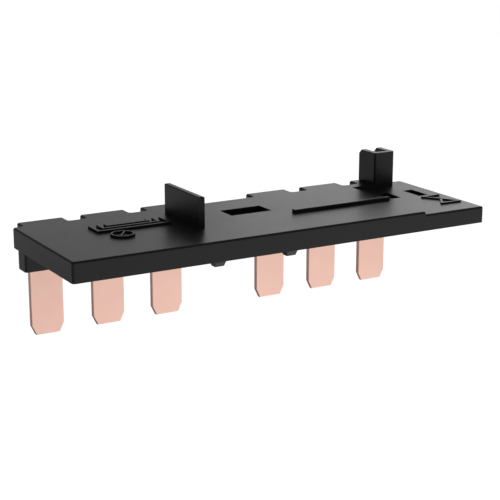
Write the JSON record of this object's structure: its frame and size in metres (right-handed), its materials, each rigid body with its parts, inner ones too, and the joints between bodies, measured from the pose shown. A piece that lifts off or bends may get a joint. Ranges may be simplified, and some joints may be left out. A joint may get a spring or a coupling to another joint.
{
  "type": "reversing contactor link",
  "caption": "Flat moulded busbar link with a flag and a post on top and copper blades hanging from columns at the rear.",
  "frame": {"origin": "midway between the two groups of blades, in the blades' middle plane, on the level where the housing sits on the contactors", "axes": "+X along the row of blades, +Y from the front of the plate to the blades, +Z from the blades to the top of the plate"},
  "size_m": [0.0802, 0.0285, 0.026],
  "materials": {
    "moulding": "matt black moulding",
    "copper": "plain stamped copper"
  },
  "bodies": {
    "root": {"cover": "moulding", "base": "moulding", "busbar_1": "copper", "busbar_2": "copper", "busbar_3": "copper"}
  },
  "joints": []
}
